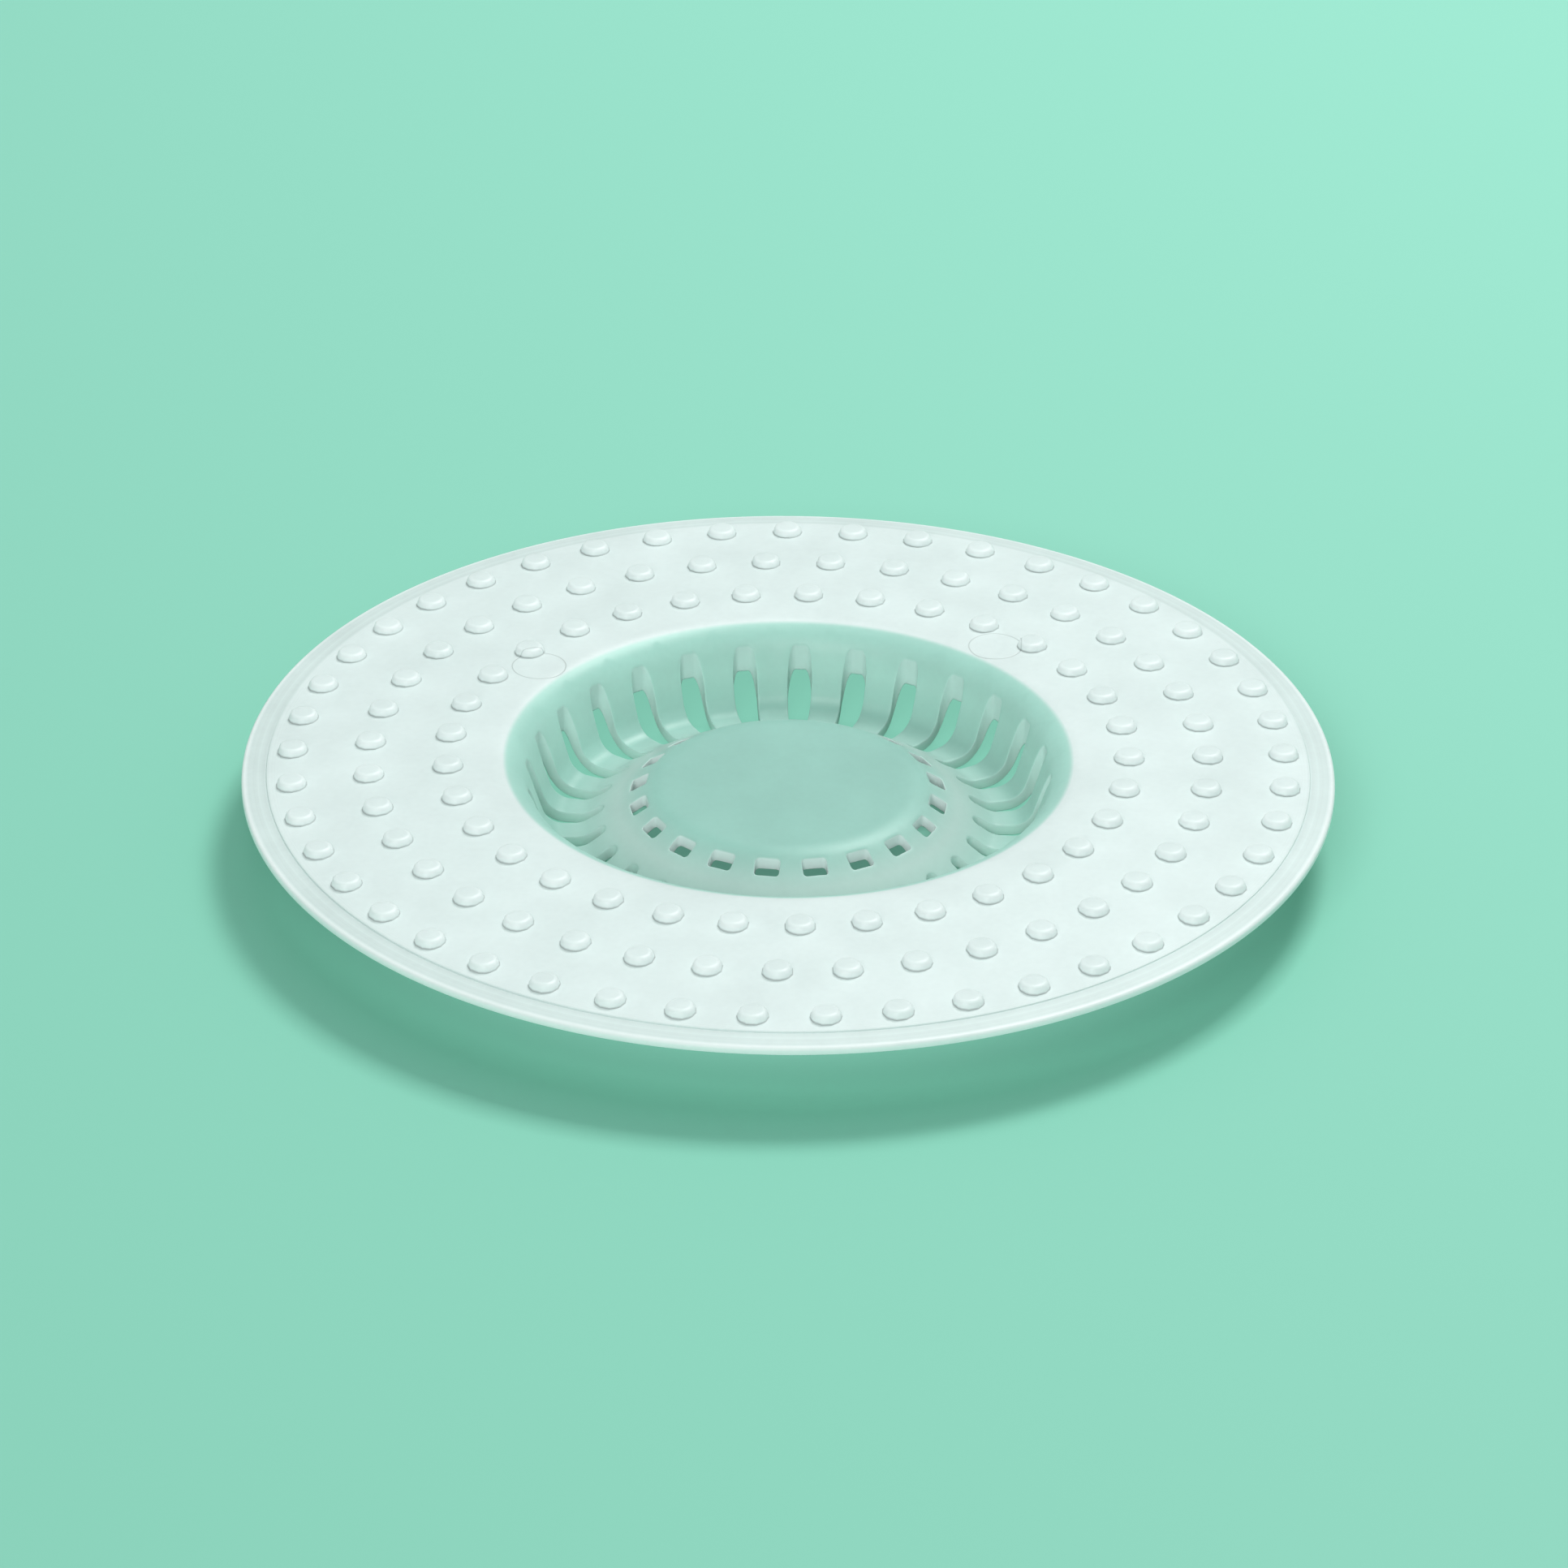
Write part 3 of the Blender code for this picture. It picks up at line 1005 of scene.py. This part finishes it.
@dataclass(frozen=True)
class TableTop:
    """The plain mint table, with a painted light falloff: darker towards the front left.

    For camera rays it glows with a share of its colour, a painted light over the strainer's shade:
    much of it under the flange, where light would fall through the translucent plastic, some under
    the basket and none from the rim outwards.
    """

    front_left: Triple = (0.236, 0.640, 0.484)
    back_right: Triple = (0.312, 0.765, 0.600)
    turn_axis: Triple = (1.0, 1.0, 0.0)
    turn_span: float = 0.6
    roughness: float = 0.7
    basket_reach: float = 0.020
    flange_start: float = 0.026
    flange_end: float = 0.043
    rim_reach: float = 0.0565
    under_basket: float = 0.3
    under_flange: float = 0.75
    beside: float = 0.0

    def build(self) -> bpy.types.Material:
        """Make the table's material.

        Returns:
            The material.
        """
        nodes = Nodes("mint_table")
        nodes.shader.inputs["Roughness"].default_value = self.roughness
        # Painted light falloff: the tone runs darker to the front left and lighter to the back
        # right.
        slant = nodes.add("ShaderNodeVectorMath", operation="DOT_PRODUCT")
        nodes.join(nodes.place(), slant.inputs[0])
        slant.inputs[1].default_value = self.turn_axis
        turn = nodes.math("ADD", nodes.math("DIVIDE", slant.outputs["Value"], self.turn_span), 0.5)
        tone = nodes.ramp(turn, [(0.0, self.front_left), (1.0, self.back_right)])
        nodes.join(tone, nodes.shader.inputs["Base Color"])
        glow = nodes.add("ShaderNodeEmission")
        nodes.join(tone, glow.inputs["Color"])
        # Painted light: the share of the table's colour that glows under the strainer.
        stops = [
            (self.basket_reach, self.under_basket),
            (self.flange_start, self.under_flange),
            (self.flange_end, self.under_flange),
            (self.rim_reach, self.beside),
        ]
        reach = nodes.math("DIVIDE", nodes.reach(), self.rim_reach)
        greys = [(radius / self.rim_reach, (share,) * 3) for radius, share in stops]
        painted_light_share = nodes.ramp(reach, greys)
        seen = nodes.add("ShaderNodeLightPath").outputs["Is Camera Ray"]
        mixed = nodes.add("ShaderNodeMixShader")
        nodes.join(nodes.math("MULTIPLY", seen, painted_light_share), mixed.inputs[0])
        nodes.join(nodes.shader.outputs["BSDF"], mixed.inputs[1])
        nodes.join(glow.outputs["Emission"], mixed.inputs[2])
        nodes.join(mixed.outputs["Shader"], nodes.tree.nodes["Material Output"].inputs["Surface"])
        return nodes.material


@dataclass
class Strainer:
    """The whole moulding as one seamless piece."""

    wall: Wall = field(default_factory=Wall)
    finish: FrostedPlastic = field(default_factory=FrostedPlastic)
    nodes: tuple[str, ...] = (
        "rim_lip",
        "studded_flange",
        "mouth_collar",
        "slotted_basket",
        "basket_floor",
    )

    def build(self) -> None:
        """Build the moulding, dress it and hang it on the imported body."""
        basket = Basket(self.wall)
        bm = basket.build()
        Flange(self.wall, basket.weld_radius).build(bm)
        bmesh.ops.recalc_face_normals(bm, faces=bm.faces)
        open_edges = sum(not edge.is_manifold for edge in bm.edges)
        triangles = sum(len(face.verts) - 2 for face in bm.faces)
        for face in bm.faces:
            face.smooth = True
        mesh = bpy.data.meshes.new("strainer_moulding")
        bm.to_mesh(mesh)
        bm.free()
        mesh.materials.append(self.finish.build())
        piece = bpy.data.objects.new("strainer_moulding", mesh)
        bpy.context.scene.collection.objects.link(piece)
        normals = piece.modifiers.new("normals", "WEIGHTED_NORMAL")
        normals.keep_sharp = True
        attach(piece, "root")
        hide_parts(*self.nodes)
        log.info("strainer_moulding: %d triangles, %d open edges", triangles, open_edges)


@dataclass(frozen=True)
class Lamp:
    """A soft square lamp that faces the strainer: its side in metres, its power in watts."""

    name: str
    place: Triple
    side: float
    power: float

    def hang(self) -> None:
        """Add the lamp to the scene."""
        data = bpy.data.lights.new(self.name, "AREA")
        data.size = self.side
        data.energy = self.power
        lamp = bpy.data.objects.new(self.name, data)
        place = Vector(self.place)
        turn = (-place).to_track_quat("-Z", "Y").to_matrix().to_4x4()
        lamp.matrix_world = Matrix.Translation(place) @ turn
        bpy.context.scene.collection.objects.link(lamp)


@dataclass
class Studio:
    """The table, the soft lights and the camera.

    The camera was fitted to the photograph in a unit of its own: the rim's radius is so many
    units, and a unit at the strainer is so many of the picture's pixels.
    """

    image: float = 1932.0
    rim_units: float = 0.9894
    unit_length: float = Wall.rim_radius / rim_units
    unit_pixels: float = 680.45
    distance_units: float = 14.5
    elevation: float = math.radians(29.07)
    roll: float = math.radians(0.39)
    centre_pixel: Point = (971.14, 929.53)
    centre_height: float = 0.0096
    sensor: float = 36.0
    nearest: float = 0.01
    table_reach: float = 3.0
    sky: Triple = (0.93, 1.0, 0.98)
    sky_strength: float = 0.38
    lamps: tuple[Lamp, ...] = (
        Lamp("key", (0.24, 0.42, 0.72), 0.27, 3.8),
        Lamp("front_fill", (-0.20, -0.84, 0.62), 0.5, 4.3),
    )

    def camera(self) -> None:
        """Stand the camera where the photograph was taken from."""
        focal = self.unit_pixels * self.distance_units
        forward = Vector((0.0, math.cos(self.elevation), -math.sin(self.elevation)))
        right = Vector((1.0, 0.0, 0.0))
        up = right.cross(forward)
        centre = Vector((0.0, 0.0, self.centre_height))
        across = self.centre_pixel[0] - self.image / 2
        down = self.centre_pixel[1] - self.image / 2
        aim = (forward * focal - right * across + up * down).normalized()
        side = aim.cross(up).normalized()
        top = side.cross(aim).normalized()
        turn = Matrix((side, top, -aim)).transposed() @ Matrix.Rotation(self.roll, 3, "Z")
        data = bpy.data.cameras.new("photo_camera")
        data.sensor_width = self.sensor
        data.lens = data.sensor_width * focal / self.image
        data.clip_start = self.nearest
        camera = bpy.data.objects.new("photo_camera", data)
        place = centre - forward * self.distance_units * self.unit_length
        camera.matrix_world = Matrix.Translation(place) @ turn.to_4x4()
        bpy.context.scene.collection.objects.link(camera)
        bpy.context.scene.camera = camera

    def table(self) -> None:
        """Lay the table under the foot of the basket."""
        bm = bmesh.new()
        bmesh.ops.create_grid(bm, x_segments=1, y_segments=1, size=self.table_reach)
        mesh = bpy.data.meshes.new("table")
        bm.to_mesh(mesh)
        bm.free()
        mesh.materials.append(TableTop().build())
        table = bpy.data.objects.new("table", mesh)
        bpy.context.scene.collection.objects.link(table)

    def lights(self) -> None:
        """Light the table from behind and softly from the front, with a weak fill all round."""
        world = bpy.data.worlds.new("studio")
        bpy.context.scene.world = world
        world.use_nodes = True
        background = world.node_tree.nodes["Background"]
        background.inputs["Color"].default_value = (*self.sky, 1.0)
        background.inputs["Strength"].default_value = self.sky_strength
        for lamp in self.lamps:
            lamp.hang()

    def build(self) -> None:
        """Set up the whole studio."""
        self.table()
        self.lights()
        self.camera()
        bpy.context.scene.view_settings.view_transform = "Standard"


def main() -> None:
    """Load the frame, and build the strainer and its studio."""
    logging.basicConfig(level=logging.INFO, format="%(name)s: %(message)s")
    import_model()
    Strainer().build()
    Studio().build()


if __name__ == "__main__":
    main()
